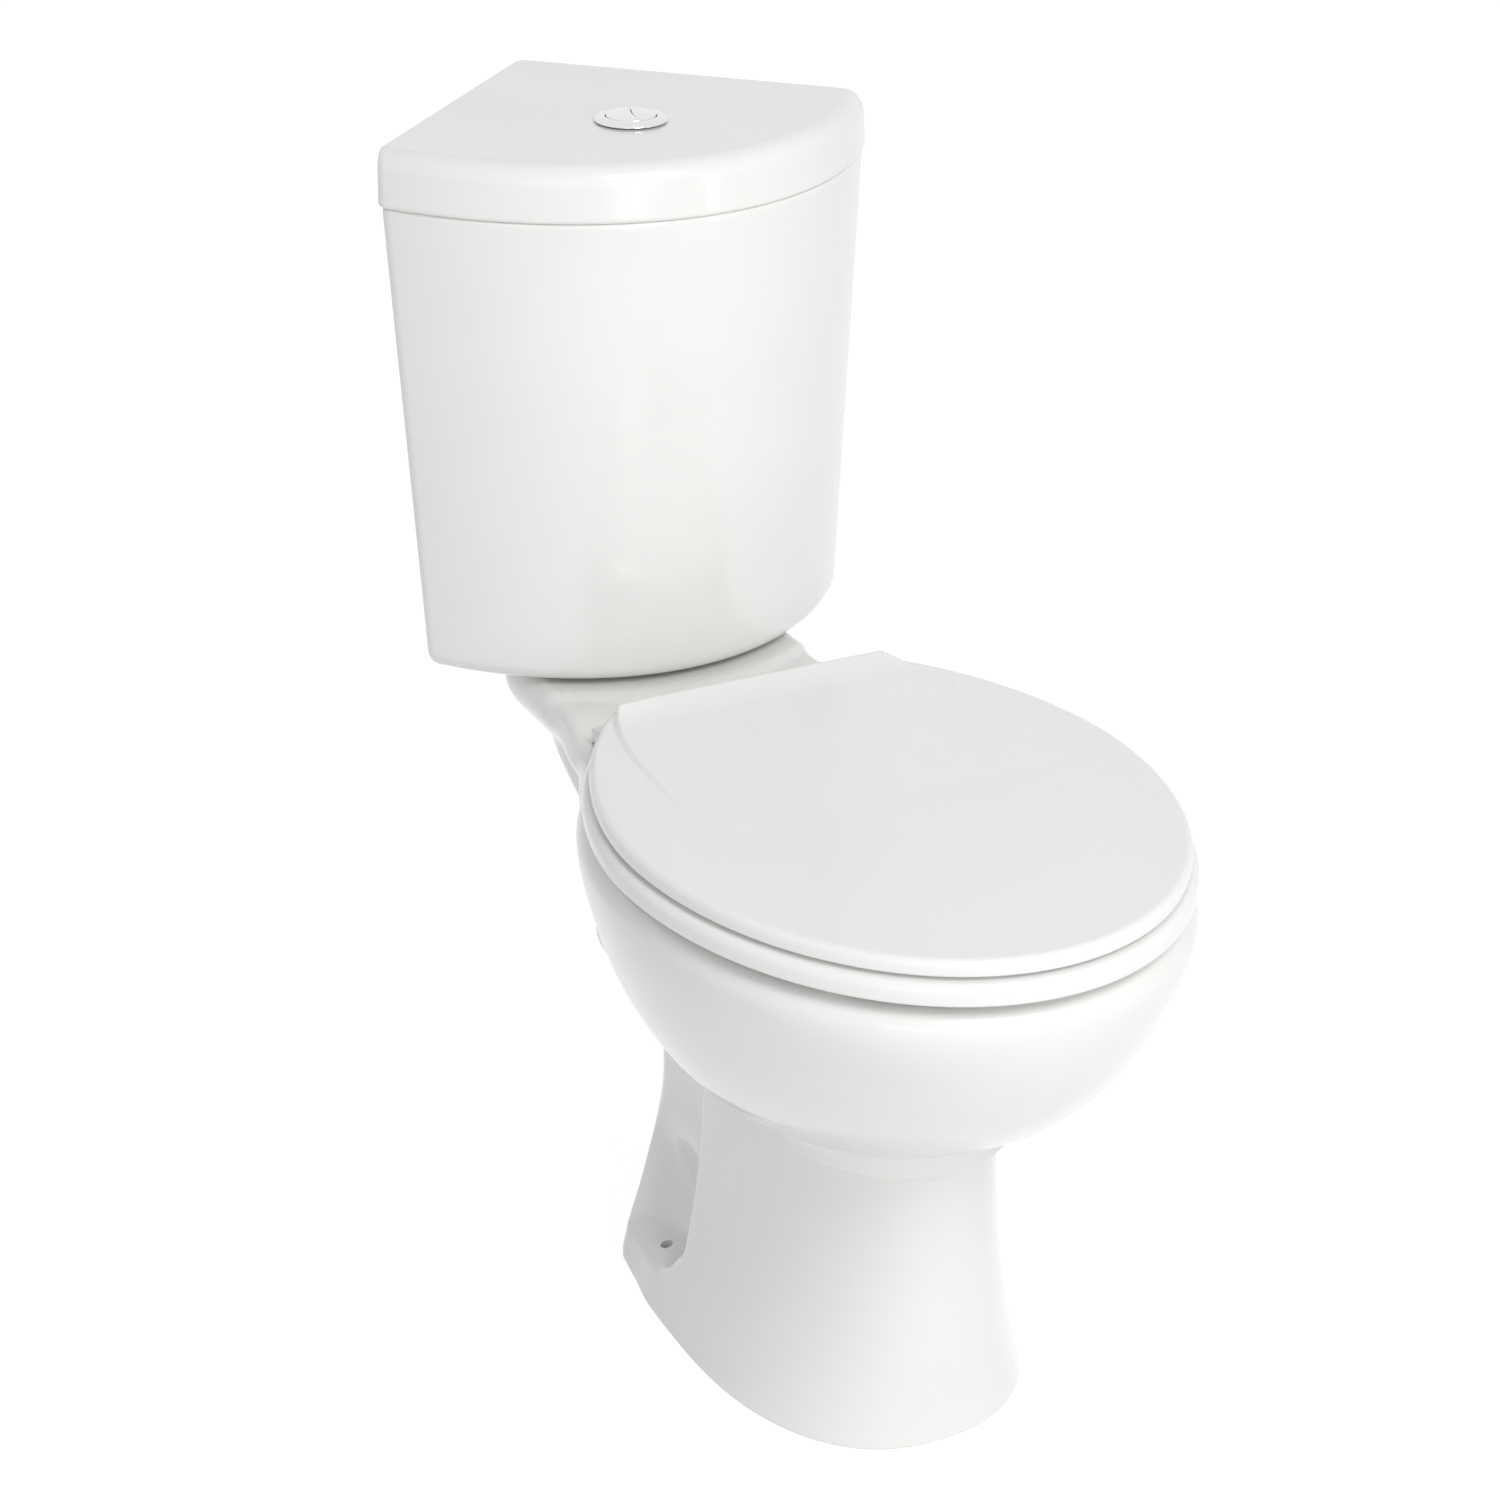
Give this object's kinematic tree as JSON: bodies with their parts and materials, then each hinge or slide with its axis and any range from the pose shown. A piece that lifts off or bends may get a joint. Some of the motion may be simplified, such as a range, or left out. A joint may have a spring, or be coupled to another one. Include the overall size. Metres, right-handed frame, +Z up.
{
  "type": "corner toilet",
  "caption": "Close-coupled corner toilet: pedestal pan with horizontal outlet, triangular cistern with curved front and lid, dual flush button, hinged seat ring and cover.",
  "frame": {"origin": "on the floor, in the middle of the outline seen from above", "axes": "+X across the toilet, to the right of someone facing it; +Y back into the room's corner; +Z up; the seat's front points to -Y"},
  "size_m": [0.376, 0.8, 0.7987],
  "materials": {
    "glazed_ceramic": "glossy white glaze",
    "seat_plastic": "glossy white",
    "chrome": "polished",
    "rubber": "matt black",
    "bumper_rubber": "matt white",
    "brass": "plain turned",
    "moulding": "satin pale grey moulding",
    "blue_plastic": "satin blue moulding",
    "rod_plastic": "satin white moulding"
  },
  "bodies": {
    "base": {"pan": "glazed_ceramic", "cistern": "glazed_ceramic", "coupling_washer": "rubber", "cistern_bolts": "brass", "bolt_rubbers": "rubber", "bolt_washers": "brass", "wing_nuts": "brass", "flush_valve_body": "moulding", "flush_valve_washer": "rubber", "flush_valve_backnut": "moulding", "flush_valve_cap": "blue_plastic", "fill_valve_shank": "moulding", "fill_valve_washer": "rubber", "fill_valve_backnut": "moulding", "fill_valve_tube": "moulding", "fill_valve_head": "moulding", "inlet_strainer": "blue_plastic", "arm_pin": "brass", "hinge_blocks": "seat_plastic", "hinge_pins": "chrome", "seat_studs": "brass", "stud_washers": "rubber", "stud_nuts": "moulding"},
    "lid": {"cistern_lid": "glazed_ceramic", "button_bezel": "chrome", "bezel_nut": "moulding", "bezel_gasket": "rubber"},
    "full_button": {"full_flush_button": "chrome", "full_flush_rod": "rod_plastic"},
    "half_button": {"half_flush_button": "chrome", "half_flush_rod": "rod_plastic"},
    "valve_lifter": {"overflow_tube": "rod_plastic", "valve_seal": "rubber", "seal_retainer": "rod_plastic"},
    "float_lever": {"float_arm": "rod_plastic", "float_screw": "brass", "float": "blue_plastic"},
    "ring": {"seat_ring": "seat_plastic", "ring_bumpers": "bumper_rubber"},
    "cover": {"seat_cover": "seat_plastic", "cover_bumpers": "bumper_rubber"}
  },
  "joints": [
    {"name": "lid_lift", "type": "slide", "parent": "base", "child": "lid", "axis": [0, 0, 1], "range_m": [0, 0.12]},
    {"name": "full_button_press", "type": "slide", "parent": "lid", "child": "full_button", "axis": [0, 0, -1], "range_m": [0, 0.007], "stiffness_N_per_m": 400, "springref_m": -0.006},
    {"name": "half_button_press", "type": "slide", "parent": "lid", "child": "half_button", "axis": [0, 0, -1], "range_m": [0, 0.007], "stiffness_N_per_m": 400, "springref_m": -0.006},
    {"name": "valve_lift", "type": "slide", "parent": "base", "child": "valve_lifter", "axis": [0, 0, 1], "range_m": [0, 0.014]},
    {"name": "float_swing", "type": "hinge", "parent": "base", "child": "float_lever", "pos_m": [0.048, 0.25981, 0.672], "axis": [1, 0, 0], "range_deg": [0, 25]},
    {"name": "ring_hinge", "type": "hinge", "parent": "base", "child": "ring", "pos_m": [0, 0.04399, 0.4135], "axis": [-1, 0, 0], "range_deg": [0, 92]},
    {"name": "cover_hinge", "type": "hinge", "parent": "ring", "child": "cover", "pos_m": [0, 0.04399, 0.4135], "axis": [1, 0, 0], "range_deg": [-92, 0]}
  ],
  "couplings": [
    {"joint": "valve_lift", "follows": "full_button_press", "ratio": 2}
  ]
}
